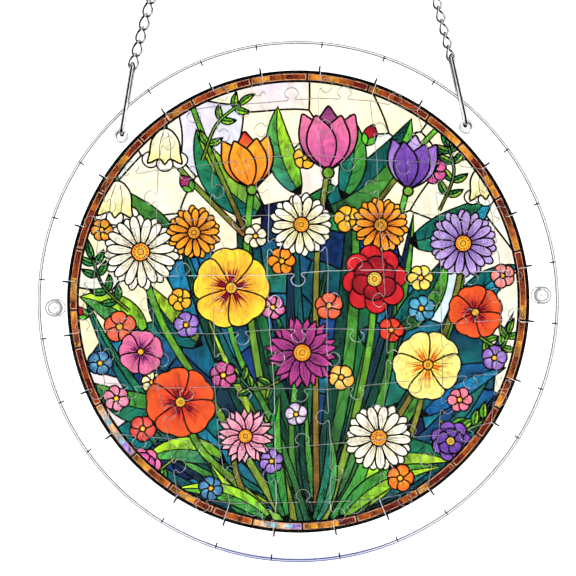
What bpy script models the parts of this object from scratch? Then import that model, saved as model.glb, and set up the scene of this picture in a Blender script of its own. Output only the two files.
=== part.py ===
"""A round acrylic jigsaw between two clear plates, hung from a silver chain.

Metres, +Z up, the printed front faces -Y. The origin is the eye of the chain's middle link,
where a hook carries the whole thing.
"""

import math

import bmesh
import bpy
from mathutils import Matrix, Vector

# The disc: a clear plate, the jigsaw and another clear plate
DISC_DIAMETER = 0.2032
PLATE_THICKNESS = 0.0015
TILE_THICKNESS = 0.0025
CLEARANCE = 0.0003
DISC_SIDES = 48
DISC_TURN = math.radians(1.5)
HANG_HEIGHT = 0.3306

# The cuts of the jigsaw
CELLS = 9
CUT_WIDTH = 0.0003
CUT_WANDER = 0.0008
CUT_BOW = 0.4
KNOB_WIDTH = 0.0054
KNOB_NECK = 0.0027
KNOB_REACH = 0.0050
CLEAR_MARGIN = 0.0113
EDGE_TILES_PER_ARC = 4

# The holes in the clear margin
HOLE_DIAMETER = 0.0037
COUNTERSINK_WIDTH = 0.0009
HOLE_TO_RIM = 0.0066
HOLE_ANGLE = math.radians(45.4)
ROUND_SIDES = 10

# The clear snap rivets, left and right
RIVET_SHANK_DIAMETER = 0.0040
RIVET_HEAD_DIAMETER = 0.0070
RIVET_HEAD_HEIGHT = 0.0012
RIVET_RECESS_DIAMETER = 0.0032
RIVET_RECESS_DEPTH = 0.0005

# The long wire connectors through the upper holes
CONNECTOR_LENGTH = 0.0290
CONNECTOR_WIRE = 0.0016
CONNECTOR_ROOM = 0.0010
CONNECTOR_CORNER = 0.0022
CONNECTOR_LEAN = math.radians(11.0)

# The chain of twisted links
CHAIN_WIRE = 0.00095
LINK_WIDTH = 0.0050
LINK_PITCH = 0.0053
LINK_BITE = 0.0002
LINK_TWIST = math.radians(90.0)
LINK_END_SHARE = 0.6

# What follows from those sizes
DISC_RADIUS = DISC_DIAMETER / 2
STACK = 2 * PLATE_THICKNESS + TILE_THICKNESS + 2 * CLEARANCE
FRONT = -STACK / 2
BACK = STACK / 2
TILE_FRONT = FRONT + PLATE_THICKNESS + CLEARANCE
HOLE_RADIUS = HOLE_DIAMETER / 2
HOLE_DISTANCE = DISC_RADIUS - HOLE_TO_RIM
SIDES = {"left": -1, "right": 1}

COLOURS = {
    "clear_acrylic": ((0.93, 0.95, 0.96), 0.05, 0.0, 0.9),
    "printed_cream": ((0.86, 0.80, 0.62), 0.12, 0.0, 0.4),
    "printed_petals": ((0.75, 0.25, 0.16), 0.12, 0.0, 0.4),
    "printed_leaves": ((0.10, 0.34, 0.12), 0.12, 0.0, 0.4),
    "printed_ground": ((0.03, 0.12, 0.25), 0.12, 0.0, 0.4),
    "printed_border": ((0.45, 0.16, 0.04), 0.12, 0.0, 0.4),
    "silver_wire": ((0.72, 0.72, 0.74), 0.18, 1.0, 0.0),
}


def clear_scene():
    for old in list(bpy.data.objects):
        bpy.data.objects.remove(old, do_unlink=True)


def material(name):
    found = bpy.data.materials.get(name)
    if found:
        return found
    colour, roughness, metallic, transmission = COLOURS[name]
    made = bpy.data.materials.new(name)
    made.use_nodes = True
    shader = made.node_tree.nodes["Principled BSDF"]
    shader.inputs["Base Color"].default_value = (*colour, 1.0)
    shader.inputs["Roughness"].default_value = roughness
    shader.inputs["Metallic"].default_value = metallic
    shader.inputs["Transmission Weight"].default_value = transmission
    return made


def add_object(name, data, parent=None):
    made = bpy.data.objects.new(name, data)
    bpy.context.scene.collection.objects.link(made)
    made.parent = parent
    return made


def add_solid(name, bm, slot, parent=None, is_round=False):
    """Turns a bmesh into an object with outward faces, shaded smooth if it is a round one."""
    bmesh.ops.recalc_face_normals(bm, faces=bm.faces)
    mesh = bpy.data.meshes.new(name)
    bm.to_mesh(mesh)
    bm.free()
    if is_round:
        mesh.shade_smooth()
        mesh.set_sharp_from_angle(angle=math.radians(40.0))
    mesh.materials.append(material(slot))
    return add_object(name, mesh, parent)


def hide_as_cutter(tool):
    tool.hide_render = True
    tool.display_type = "WIRE"
    return tool


def add_boolean(target, tool, operation):
    step = target.modifiers.new(tool.name, "BOOLEAN")
    step.object = tool
    step.operation = operation
    step.solver = "EXACT"


def add_prism(name, outline, front, thickness, slot, parent, trim=0.0):
    """A flat sheet with this outline of (x, z) points; trim takes that much off all round."""
    bm = bmesh.new()
    face = bm.faces.new([bm.verts.new((x, front, z)) for x, z in outline])
    if trim:
        face.normal_update()
        border = bmesh.ops.inset_individual(bm, faces=[face], thickness=trim, use_even_offset=True)
        bmesh.ops.delete(bm, geom=border["faces"], context="FACES")
    grown = bmesh.ops.extrude_face_region(bm, geom=bm.faces[:])
    moved = [item for item in grown["geom"] if isinstance(item, bmesh.types.BMVert)]
    bmesh.ops.translate(bm, verts=moved, vec=(0.0, thickness, 0.0))
    return add_solid(name, bm, slot, parent)


def add_turned(name, profile, slot, parent):
    """A turned solid about the Y axis, from (radius, y) points that start and end on the axis."""
    bm = bmesh.new()
    points = [bm.verts.new((radius, y, 0.0)) for radius, y in profile]
    edges = [bm.edges.new(pair) for pair in zip(points, points[1:])]
    bmesh.ops.spin(
        bm,
        geom=points + edges,
        cent=(0.0, 0.0, 0.0),
        axis=(0.0, 1.0, 0.0),
        angle=math.tau,
        steps=ROUND_SIDES,
        use_merge=True,
    )
    bmesh.ops.remove_doubles(bm, verts=bm.verts, dist=CUT_WIDTH / 100)
    return add_solid(name, bm, slot, parent, is_round=True)


def add_wire_loop(name, length, width, corner, wire, slot, parent):
    """A closed loop of round wire in the YZ plane, measured outside, standing on the origin.

    The origin is the middle of the wire of its lower end.
    """
    half = (width - wire) / 2
    reach = length - wire
    bend = min(corner, half)
    centres = [(half - bend, bend), (half - bend, reach - bend), (bend - half, reach - bend), (bend - half, bend)]
    steps = 2
    points = []
    for quarter, (across, up) in enumerate(centres):
        for step in range(steps + 1):
            angle = (quarter - 1 + step / steps) * math.pi / 2
            place = Vector((0.0, across + bend * math.cos(angle), up + bend * math.sin(angle)))
            if not any((place - other).length < wire / 100 for other in points):
                points.append(place)
    curve = bpy.data.curves.new(name, "CURVE")
    curve.dimensions = "3D"
    curve.bevel_depth = wire / 2
    curve.bevel_resolution = 1
    curve.materials.append(material(slot))
    spline = curve.splines.new("POLY")
    spline.points.add(len(points) - 1)
    for point, place in zip(spline.points, points):
        point.co = (*place, 1.0)
    spline.use_cyclic_u = True
    return add_object(name, curve, parent)


def rim_point(angle, radius):
    """A point of the disc's own plane as (x, z), with the angle from +X towards +Z."""
    return Vector((radius * math.cos(angle), radius * math.sin(angle)))


def rim_arc(start, end, radius):
    """The corners of the round rim strictly between two angles, start before end.

    The corners are set so that the rim reaches its full radius straight up, down and sideways.
    """
    step = math.tau / DISC_SIDES
    first = math.floor((start + DISC_TURN) / step + 1.0)
    last = math.ceil((end + DISC_TURN) / step - 1.0)
    return [rim_point(index * step - DISC_TURN, radius) for index in range(first, last + 1)]


def crossing(place):
    """Where an upright and a level cut cross, drawn in a little so that the cuts follow the rim."""
    column, row = place
    spacing = DISC_DIAMETER / CELLS
    across = (column - CELLS / 2) * spacing
    up = (row - CELLS / 2) * spacing
    x = across * math.sqrt(1.0 - CUT_BOW * (up / DISC_RADIUS) ** 2)
    z = up * math.sqrt(1.0 - CUT_BOW * (across / DISC_RADIUS) ** 2)
    x += CUT_WANDER * math.sin(2.3 * column + 1.7 * row)
    z += CUT_WANDER * math.cos(1.9 * column - 2.1 * row)
    return Vector((x, z))


def knobbed(start, end, side):
    """The points from start to end of a cut with one knob, which bulges to the given side."""
    along = (end - start).normalized()
    out = Vector((-along.y, along.x)) * side
    middle = (start + end) / 2
    neck = KNOB_NECK / 2
    head = KNOB_WIDTH / 2
    shape = [(-neck, 0.0), (-head, 0.55 * KNOB_REACH), (0.0, KNOB_REACH), (head, 0.55 * KNOB_REACH), (neck, 0.0)]
    return [start] + [middle + along * a + out * b for a, b in shape] + [end]


def inner_cut(first, second):
    """The cut between two crossings, without its last point, alike for both of its tiles."""
    low, high = sorted((first, second))
    side = -1 if (low[0] + low[1] + low[0] * low[1] // 3) % 2 else 1
    points = knobbed(crossing(low), crossing(high), side)
    if first != low:
        points.reverse()
    return points[:-1]


def rim_cut(place):
    """The cut from a crossing out to the rim, with a knob where the print leaves room for one."""
    start = crossing(place)
    outward = start.normalized()
    print_edge = outward * (DISC_RADIUS - CLEAR_MARGIN)
    rim = outward * (DISC_RADIUS + CUT_WIDTH / 2)
    if (print_edge - start).dot(outward) < 1.4 * KNOB_WIDTH:
        return [start, rim]
    side = -1 if sum(place) % 2 else 1
    return knobbed(start, print_edge, side)[:-1] + [rim]


def walk_round():
    """The crossings round the inner tiles, anticlockwise from the lower left."""
    low = 1
    high = CELLS - 1
    run = range(low + 1, high)
    back = range(high - 1, low, -1)
    walk = [(column, low) for column in run] + [(high - 1, low + 1)]
    walk += [(high, row) for row in run] + [(high - 1, high - 1)]
    walk += [(column, high) for column in back] + [(low + 1, high - 1)]
    walk += [(low, row) for row in back] + [(low + 1, low + 1)]
    return walk


def edge_outline(first, count):
    """The outline of edge tiles that lie side by side, from the first cut that reaches the rim.

    The rim has no corner within a cut's width of its ends, so that the trim can't turn one over.
    """
    walk = walk_round()
    reaching = [index for index, place in enumerate(walk) if {*place} & {1, CELLS - 1}]
    begin = reaching[first]
    end = reaching[(first + count) % len(reaching)]
    if end <= begin:
        end += len(walk)
    places = [walk[index % len(walk)] for index in range(begin, end + 1)]
    outline = rim_cut(places[0])[:0:-1]
    for pair in zip(places, places[1:]):
        outline += inner_cut(*pair)
    outline += rim_cut(places[-1])
    start_angle = math.atan2(outline[0].y, outline[0].x)
    end_angle = math.atan2(outline[-1].y, outline[-1].x)
    if end_angle < start_angle:
        end_angle += math.tau
    spare = CUT_WIDTH / DISC_RADIUS
    outline += reversed(rim_arc(start_angle + spare, end_angle - spare, DISC_RADIUS + CUT_WIDTH / 2))
    return outline


def tile_outline(column, row):
    corners = [(column, row), (column + 1, row), (column + 1, row + 1), (column, row + 1)]
    outline = []
    for pair in zip(corners, corners[1:] + corners[:1]):
        outline += inner_cut(*pair)
    return outline


def tile_slot(row):
    """The printed colour that leads at this height, from the sky at the top to the ground."""
    if row < 3:
        return "printed_cream"
    if row < 5:
        return "printed_petals"
    if row < 7:
        return "printed_leaves"
    return "printed_ground"


def add_tiles(disc):
    inner = range(1, CELLS - 1)
    ends = (inner[0], inner[-1])
    for column in inner:
        for level in inner:
            if column in ends and level in ends:
                continue
            row = CELLS - 1 - level
            name = f"tile_r{row}c{column}"
            outline = tile_outline(column, level)
            add_prism(name, outline, TILE_FRONT, TILE_THICKNESS, tile_slot(row), disc, CUT_WIDTH / 2)


def add_edge_tiles(disc, cutters):
    total = 4 * (CELLS - 3)
    for arc, first in enumerate(range(0, total, EDGE_TILES_PER_ARC), start=1):
        outline = edge_outline(first, min(EDGE_TILES_PER_ARC, total - first))
        name = f"edge_tiles_{arc}"
        made = add_prism(name, outline, TILE_FRONT, TILE_THICKNESS, "printed_border", disc, CUT_WIDTH / 2)
        for cutter in cutters:
            add_boolean(made, cutter, "DIFFERENCE")


def add_plate(name, front, disc, cutters):
    outline = rim_arc(-math.pi, math.pi, DISC_RADIUS)
    made = add_prism(name, outline, front, PLATE_THICKNESS, "clear_acrylic", disc)
    for cutter in cutters:
        add_boolean(made, cutter, "DIFFERENCE")


def add_chain_hole_cutter(name, side, disc):
    """A bore for a connector, opened out at both faces of the disc."""
    wide = HOLE_RADIUS + COUNTERSINK_WIDTH
    past = STACK
    profile = [
        (0.0, FRONT - past),
        (wide, FRONT - past),
        (wide, FRONT),
        (HOLE_RADIUS, FRONT + COUNTERSINK_WIDTH),
        (HOLE_RADIUS, BACK - COUNTERSINK_WIDTH),
        (wide, BACK),
        (wide, BACK + past),
        (0.0, BACK + past),
    ]
    cutter = add_turned(name, profile, "clear_acrylic", disc)
    cutter.location = hole_centre(side)
    return hide_as_cutter(cutter)


def add_rivet_hole_cutter(name, side, disc):
    radius = RIVET_SHANK_DIAMETER / 2 + CLEARANCE
    past = STACK
    profile = [(0.0, FRONT - past), (radius, FRONT - past), (radius, BACK + past), (0.0, BACK + past)]
    cutter = add_turned(name, profile, "clear_acrylic", disc)
    cutter.location = (side * HOLE_DISTANCE, 0.0, 0.0)
    return hide_as_cutter(cutter)


def add_rivet(name, side, disc):
    """A clear rivet with a head on each face, the front one domed with a round recess."""
    shank = RIVET_SHANK_DIAMETER / 2
    head = RIVET_HEAD_DIAMETER / 2
    recess = RIVET_RECESS_DIAMETER / 2
    seat = FRONT - CLEARANCE
    top = seat - RIVET_HEAD_HEIGHT
    under = BACK + CLEARANCE
    slope = (head - recess) / 2
    profile = [
        (0.0, top + RIVET_RECESS_DEPTH),
        (recess, top + RIVET_RECESS_DEPTH),
        (recess, top),
        (head - slope, top),
        (head, seat - RIVET_HEAD_HEIGHT / 3),
        (head, seat),
        (shank, seat),
        (shank, under),
        (head, under),
        (head - slope, under + RIVET_HEAD_HEIGHT),
        (0.0, under + RIVET_HEAD_HEIGHT),
    ]
    rivet = add_turned(name, profile, "clear_acrylic", disc)
    rivet.location = (side * HOLE_DISTANCE, 0.0, 0.0)


def hole_centre(side):
    """The middle of an upper hole, in the disc's own frame."""
    return Vector((side * HOLE_DISTANCE * math.sin(HOLE_ANGLE), 0.0, HOLE_DISTANCE * math.cos(HOLE_ANGLE)))


def connector_ends(side):
    """The middles of the wire at a connector's lower and upper end, in the disc's own frame."""
    pull = Vector((-side * math.sin(CONNECTOR_LEAN), 0.0, math.cos(CONNECTOR_LEAN)))
    lower = hole_centre(side) + pull * (HOLE_RADIUS - CONNECTOR_WIRE / 2 - CLEARANCE)
    return lower, lower + pull * (CONNECTOR_LENGTH - CONNECTOR_WIRE)


def add_connector(name, side, disc):
    width = STACK + 2 * CONNECTOR_ROOM + 2 * CONNECTOR_WIRE
    loop = add_wire_loop(name, CONNECTOR_LENGTH, width, CONNECTOR_CORNER, CONNECTOR_WIRE, "silver_wire", disc)
    loop.location = connector_ends(side)[0]
    loop.rotation_euler.y = -side * CONNECTOR_LEAN


def add_link(bm, middle, length):
    """One twisted link of three-sided wire: its lower end lies in the XZ plane, its upper end across it."""
    half_width = (LINK_WIDTH - CHAIN_WIRE) / 2
    half_length = length / 2
    end = LINK_END_SHARE * half_width
    path = [(end, half_length), (half_width, 0.0), (end, -half_length)]
    path += [(-x, z) for x, z in reversed(path)]
    rings = []
    for x, z in path:
        twist = Matrix.Rotation(LINK_TWIST * (z / length + 0.5), 4, "Z")
        outward = Vector((x / half_width, 0.0, z / half_length)).normalized()
        ring = []
        for corner in range(3):
            angle = math.pi + corner * math.tau / 3
            offset = outward * math.cos(angle) + Vector((0.0, math.sin(angle), 0.0))
            place = twist @ (Vector((x, 0.0, z)) + offset * CHAIN_WIRE / 2)
            ring.append(bm.verts.new(place + Vector((0.0, 0.0, middle))))
        rings.append(ring)
    for ring, following in zip(rings, rings[1:] + rings[:1]):
        for corner in range(3):
            after = (corner + 1) % 3
            bm.faces.new((ring[corner], ring[after], following[after], following[corner]))


def add_chain(name, start, end):
    """The links between two points, which are the middles of the wire of its two ends.

    Every second link is one mesh, and a union joins the two meshes where the links bear.
    """
    run = end - start
    count = round((run.length - CHAIN_WIRE + LINK_BITE) / LINK_PITCH)
    pitch = (run.length - CHAIN_WIRE + LINK_BITE) / count
    length = pitch + CHAIN_WIRE - LINK_BITE
    halves = []
    for first, part_name in enumerate((name, f"{name}_between")):
        bm = bmesh.new()
        for index in range(first, count, 2):
            add_link(bm, length / 2 + index * pitch, length)
        made = add_solid(part_name, bm, "silver_wire")
        made.location = start
        made.rotation_euler.y = math.atan2(run.x, run.z)
        halves.append(made)
    add_boolean(halves[0], hide_as_cutter(halves[1]), "UNION")


def build():
    clear_scene()
    disc = add_object("disc", None)
    disc.location = (0.0, 0.0, -HANG_HEIGHT)
    disc.rotation_euler.y = -DISC_TURN
    disc_place = Matrix.Translation(disc.location) @ Matrix.Rotation(-DISC_TURN, 4, "Y")

    cutters = []
    for word, side in SIDES.items():
        cutters.append(add_chain_hole_cutter(f"chain_hole_{word}", side, disc))
        cutters.append(add_rivet_hole_cutter(f"rivet_hole_{word}", side, disc))
    add_plate("front_plate", FRONT, disc, cutters)
    add_plate("back_plate", BACK - PLATE_THICKNESS, disc, cutters)
    add_tiles(disc)
    add_edge_tiles(disc, cutters)

    link_length = LINK_PITCH + 2 * CHAIN_WIRE
    hanging = add_wire_loop(
        "hanging_link", link_length, LINK_WIDTH, LINK_WIDTH, CHAIN_WIRE, "silver_wire", None
    )
    hanging.rotation_euler = (math.pi / 2, 0.0, math.pi / 2)
    hanging.location = (-(link_length - CHAIN_WIRE) / 2, 0.0, 0.0)

    for word, side in SIDES.items():
        add_rivet(f"rivet_{word}", side, disc)
        add_connector(f"connector_{word}", side, disc)
        low_bearing = disc_place @ connector_ends(side)[1]
        high_bearing = Vector((side * (link_length - LINK_WIDTH) / 2, 0.0, -(LINK_WIDTH - CHAIN_WIRE) / 2))
        pull = (high_bearing - low_bearing).normalized()
        start = low_bearing - pull * (CONNECTOR_WIRE / 2 + CHAIN_WIRE / 2 + CLEARANCE)
        end = high_bearing + pull * (CHAIN_WIRE + CLEARANCE)
        add_chain(f"chain_{word}", start, end)


build()
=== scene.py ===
# %% [markdown]
# # A round acrylic jigsaw that hangs in a window
# The real object is a clear disc, 203 mm across, made of three layers. Two thin clear plates hold
# a printed jigsaw between them, two clear rivets keep the stack together, and a silver chain
# carries it by two long wire connectors. This lesson dresses a fixed model of it: every piece
# here replaces a plain solid and stays where that solid is.

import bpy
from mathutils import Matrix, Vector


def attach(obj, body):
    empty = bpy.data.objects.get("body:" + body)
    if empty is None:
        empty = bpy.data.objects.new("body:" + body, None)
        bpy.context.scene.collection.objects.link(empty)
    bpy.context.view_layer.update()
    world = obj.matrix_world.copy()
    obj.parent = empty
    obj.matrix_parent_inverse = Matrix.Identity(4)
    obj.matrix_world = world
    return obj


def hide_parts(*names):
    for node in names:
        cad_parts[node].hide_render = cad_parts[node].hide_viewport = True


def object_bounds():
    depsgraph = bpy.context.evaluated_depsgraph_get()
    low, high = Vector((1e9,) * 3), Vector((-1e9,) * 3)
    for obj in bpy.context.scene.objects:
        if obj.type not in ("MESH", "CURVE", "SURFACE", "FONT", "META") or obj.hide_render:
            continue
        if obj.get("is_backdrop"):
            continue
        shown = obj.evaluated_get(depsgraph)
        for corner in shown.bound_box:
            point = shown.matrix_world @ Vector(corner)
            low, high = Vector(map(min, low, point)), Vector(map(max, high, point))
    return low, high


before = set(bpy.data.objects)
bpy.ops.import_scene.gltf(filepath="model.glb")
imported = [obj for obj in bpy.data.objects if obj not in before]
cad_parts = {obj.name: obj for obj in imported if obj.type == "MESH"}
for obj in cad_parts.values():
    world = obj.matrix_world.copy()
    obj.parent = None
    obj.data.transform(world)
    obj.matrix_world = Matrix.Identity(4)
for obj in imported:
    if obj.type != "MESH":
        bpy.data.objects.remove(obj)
cad_box = [list(corner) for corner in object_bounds()]
print("nodes in the frame:", len(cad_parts))

# %% Tools for the lesson
import math
import random

import bmesh
import bpy
import numpy as np
from mathutils import Matrix, Vector
from mathutils.geometry import delaunay_2d_cdt

# %% [markdown]
# ## The sizes of the disc
# The picture is easiest to draw in millimetres on the disc's own plane, with x to the right and
# z up, as a maker would draw it on paper. One matrix then takes every point to its place in the
# frame. The disc hangs a little askew, so that matrix also holds its small turn.

# %% Sizes and the place of the disc
MM = 0.001
DISC_RADIUS = 101.6
PLATE_THICKNESS = 1.5
TILE_THICKNESS = 2.5
CLEARANCE = 0.3
STACK = 2 * PLATE_THICKNESS + TILE_THICKNESS + 2 * CLEARANCE
FRONT = -STACK / 2
BACK = STACK / 2
TILE_FRONT = FRONT + PLATE_THICKNESS + CLEARANCE
HANG_HEIGHT = 330.6
DISC_TURN = math.radians(1.5)

disc_place = Matrix.Translation((0.0, 0.0, -HANG_HEIGHT * MM)) @ Matrix.Rotation(-DISC_TURN, 4, "Y")
disc_from_mm = disc_place @ Matrix.Scale(MM, 4)
print("front of the disc at y =", round(FRONT, 2), "mm")

# %% [markdown]
# ## The camera
# The picture was taken straight from the front, from about 430 mm away: near enough for the rim
# of the back plate to show as a second line inside the rim of the front plate. A lens can be
# worked out from that distance and from the width of what the frame takes in.

# %% Camera
VIEW_DISTANCE = 430.0
VIEW_WIDTH = 225.1
VIEW_CENTRE = (-4.0, -325.3)
SENSOR = 36.0


def new_object(name, data):
    made = bpy.data.objects.new(name, data)
    bpy.context.scene.collection.objects.link(made)
    return made


camera_data = bpy.data.cameras.new("camera")
camera_data.sensor_width = SENSOR
camera_data.lens = SENSOR * VIEW_DISTANCE / VIEW_WIDTH
camera_data.clip_start = 0.01
camera_data.clip_end = 20.0
camera = new_object("camera", camera_data)
camera.location = (VIEW_CENTRE[0] * MM, (TILE_FRONT - VIEW_DISTANCE) * MM, VIEW_CENTRE[1] * MM)
camera.rotation_euler = (math.radians(90.0), 0.0, 0.0)
bpy.context.scene.camera = camera
print("lens:", round(camera_data.lens, 1), "mm")

# %% [markdown]
# ## Small tools for drawing
# Each shape of the picture is a closed outline of (x, z) points. Three tools make them: a curve
# through a few points, an outline moved in or out by an even distance, and a line with a width
# of its own. Moving an outline in and out is how a lead line gets its two edges.

# %% Curves through points
def smooth(points, closed=True, steps=4):
    """A curve through the points, with this many steps between two of them."""
    count = len(points)
    curve = []
    for first in range(count if closed else count - 1):
        if closed:
            a, b, c, d = (points[(first + step) % count] for step in (-1, 0, 1, 2))
        else:
            a, b, c, d = (points[min(max(first + step, 0), count - 1)] for step in (-1, 0, 1, 2))
        for step in range(steps):
            t = step / steps
            curve.append(tuple(
                0.5 * (2 * q + (r - p) * t + (2 * p - 5 * q + 4 * r - s) * t * t
                       + (3 * q - 3 * r + s - p) * t ** 3)
                for p, q, r, s in zip(a, b, c, d)
            ))
    return curve if closed else curve + [tuple(points[-1])]


# %% Outlines moved in or out
def area(outline):
    return sum(p[0] * q[1] - q[0] * p[1] for p, q in zip(outline, outline[1:] + outline[:1])) / 2


def grown(outline, by, sharpest=2.0):
    """The outline moved outwards by a distance, or inwards where the distance is negative."""
    if area(outline) < 0:
        outline = outline[::-1]
    moved = []
    before_each, after_each = outline[-1:] + outline[:-1], outline[1:] + outline[:1]
    for before, here, after in zip(before_each, outline, after_each):
        back = (Vector(here) - Vector(before)).normalized()
        ahead = (Vector(after) - Vector(here)).normalized()
        along = back + ahead
        if along.length < 1e-6:
            moved.append(tuple(here))
            continue
        along.normalize()
        reach = min(sharpest, 1.0 / max(along.dot(ahead), 1e-3))
        moved.append((here[0] + along.y * by * reach, here[1] - along.x * by * reach))
    return moved


# %% Lines with a width
def heading(points, index):
    """The direction of a line at one of its points, from the points beside it."""
    before, after = points[max(index - 1, 0)], points[min(index + 1, len(points) - 1)]
    return (Vector(after) - Vector(before)).normalized()


def drawn(points, widths):
    """The outline of a line along the points, its width running evenly through the given widths."""
    left, right = [], []
    last = len(points) - 1
    for index, here in enumerate(points):
        along = heading(points, index)
        place = index / last * (len(widths) - 1)
        low = min(int(place), len(widths) - 2)
        half = (widths[low] + (widths[low + 1] - widths[low]) * (place - low)) / 2
        left.append((here[0] - along.y * half, here[1] + along.x * half))
        right.append((here[0] + along.y * half, here[1] - along.x * half))
    return right + left[::-1]


# %% Turned shapes and circles
def placed(points, angle=0.0, centre=(0.0, 0.0), size=1.0):
    """Points drawn along the x axis, turned, resized and moved to their place."""
    c, s = math.cos(angle) * size, math.sin(angle) * size
    return [(centre[0] + x * c - z * s, centre[1] + x * s + z * c) for x, z in points]


def polar(radius, angle, centre=(0.0, 0.0)):
    return (centre[0] + radius * math.cos(angle), centre[1] + radius * math.sin(angle))


def ring(radius, count, centre=(0.0, 0.0), turn=0.0):
    return [polar(radius, turn + index * math.tau / count, centre) for index in range(count)]


# %% [markdown]
# ## How the picture is kept
# The print is a stained-glass picture: patches of colour with black lines between them. It could
# be an image, but an image is blurred when seen close and belongs to somebody. Here each patch is
# real geometry, so it stays sharp at any size. The patches go into one list, from the lowest to
# the highest, and later ones cover earlier ones, as paper cut-outs would.

# %% The colours of the glass
PALETTE = {
    "lead": (14, 12, 12),
    "cream": (249, 239, 208),
    "butter": (250, 236, 190),
    "blush": (246, 226, 218),
    "mist": (206, 224, 230),
    "heather": (222, 208, 226),
    "pearl": (241, 237, 224),
    "lime": (166, 212, 28),
    "leaf": (66, 156, 30),
    "grass": (18, 104, 42),
    "fir": (4, 46, 32),
    "teal": (4, 86, 86),
    "lagoon": (16, 118, 156),
    "sea": (6, 52, 122),
    "night": (4, 12, 54),
    "olive": (104, 118, 28),
    "bark": (104, 58, 20),
    "straw": (206, 170, 70),
    "white": (250, 244, 226),
    "sun": (252, 208, 44),
    "lemon": (253, 236, 130),
    "amber": (248, 160, 26),
    "orange": (240, 116, 20),
    "ember": (230, 76, 22),
    "red": (208, 20, 26),
    "wine": (118, 6, 20),
    "coral": (240, 120, 96),
    "rose": (226, 104, 146),
    "pink": (240, 170, 186),
    "magenta": (184, 52, 134),
    "plum": (98, 20, 86),
    "lilac": (184, 156, 218),
    "violet": (118, 66, 176),
    "purple": (66, 32, 128),
    "sky": (104, 188, 220),
    "rust": (140, 46, 8),
    "maroon": (84, 12, 8),
    "gold": (232, 158, 38),
    "copper": (178, 82, 16),
    "shell": (204, 146, 108),
}


def linear(name):
    """A palette colour as the renderer counts light."""
    shares = [part / 255 for part in PALETTE[name]]
    return Vector([((share + 0.055) / 1.055) ** 2.4 if share > 0.04 else share / 12.92 for share in shares])


print("colours in the palette:", len(PALETTE))

# %% Panes with lead round them
LINE = 0.78
VEIN = 0.3
panes = []


def pane(outline, glass, near, far=None, root=(0.0, 0.0), reach=1.0):
    """One patch. Its colour runs from near at the root to far at the reach, in mm."""
    colours = linear(near), linear(far or near)
    panes.append((outline, glass, *colours, Vector(root), reach, random.random()))


def leaded(outline, glass, near, far=None, root=(0.0, 0.0), reach=1.0, line=LINE):
    """A patch with a lead line all round, half of it outside the outline."""
    pane(grown(outline, line / 2), "lead", "lead")
    pane(grown(outline, -line / 2), glass, near, far, root, reach)


def lead_line(points, *widths):
    pane(drawn(points, widths if len(widths) > 1 else widths * 2), "lead", "lead")


random.seed(11)

# %% [markdown]
# ## Sky and undergrowth
# Behind the flowers, pale opal glass fills the top and the sides, and dark green and blue glass
# fills the middle and the foot. Real glaziers cut such ground into odd pieces. Cells that each
# hold the points nearest to a seed give pieces like that. Bending all their points by one smooth
# wave makes the straight cuts curved.

# %% Ground cells
PICTURE_RADIUS = 86.0
SEED_TRIES = 4000
SEED_REACH = 92
BUSH_ROOM = 11.5
SKY_ROOM = 20.0


def cell_round(seed, seeds, radius):
    """The part of a wide polygon that is nearer to one seed than to any other."""
    cell = ring(radius * 1.25, 40)
    for other in seeds:
        if other == seed:
            continue
        normal = Vector(other) - Vector(seed)
        level = (Vector(other) + Vector(seed)).dot(normal) / 2
        kept = []
        for here, after in zip(cell, cell[1:] + cell[:1]):
            depth, next_depth = (level - Vector(point).dot(normal) for point in (here, after))
            if depth >= 0:
                kept.append(here)
            if (depth >= 0) != (next_depth >= 0):
                share = depth / (depth - next_depth)
                kept.append(tuple(Vector(here).lerp(Vector(after), share)))
        cell = kept
        if len(cell) < 3:
            break
    return cell


def waved(points):
    """Extra points between the given ones, all moved by one smooth wave."""
    curve = []
    for here, after in zip(points, points[1:] + points[:1]):
        steps = max(1, round((Vector(after) - Vector(here)).length / 3.0))
        for step in range(steps):
            x, z = Vector(here).lerp(Vector(after), step / steps)
            curve.append((x + 2.6 * math.sin(0.11 * z + 0.6), z + 2.4 * math.sin(0.10 * x + 1.1)))
    return curve


def in_bush(x, z):
    """True where the green undergrowth stands rather than the sky."""
    return z < 30.0 - 0.012 * x * x + 7.0 * math.sin(0.09 * x) and abs(x) < 76.0 + 0.1 * z


seeds = []
for _ in range(SEED_TRIES):
    place = (random.uniform(-SEED_REACH, SEED_REACH), random.uniform(-SEED_REACH, SEED_REACH))
    room = BUSH_ROOM if in_bush(*place) else SKY_ROOM
    if all((Vector(place) - Vector(other)).length > room for other in seeds):
        seeds.append(place)

SKY_COLOURS = "cream pearl butter cream blush mist cream heather butter pearl".split()
BUSH_COLOURS = "fir teal night sea night fir grass lagoon night sea".split()
for index, seed in enumerate(seeds):
    cell = cell_round(seed, seeds, PICTURE_RADIUS)
    if len(cell) < 3:
        continue
    if in_bush(*seed):
        dark = "night" if seed[1] < -55 else random.choice(BUSH_COLOURS)
        leaded(waved(cell), "leaf_glass", dark, random.choice(BUSH_COLOURS), seed, 16.0)
    else:
        pale = SKY_COLOURS[index % len(SKY_COLOURS)]
        leaded(waved(cell), "opal_glass", pale, random.choice(SKY_COLOURS), seed, 26.0)
print("ground cells:", len(seeds))

# %% [markdown]
# ## Leaves and stems
# A leaf is two blades with a rib between them. Drawing the blades a little apart on one black
# shape gives the outline and the rib at once. A stem is a narrow pane along a curve.

# %% Leaf, stem and sprig
def bent(root, tip, bend, steps=14):
    """A line from root to tip that bows sideways by a share of its length."""
    root, tip = Vector(root), Vector(tip)
    across = Vector((-(tip - root).y, (tip - root).x)) * bend
    shares = [step / steps for step in range(steps + 1)]
    return [tuple(root.lerp(tip, share) + across * 4 * share * (1 - share)) for share in shares]


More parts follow.
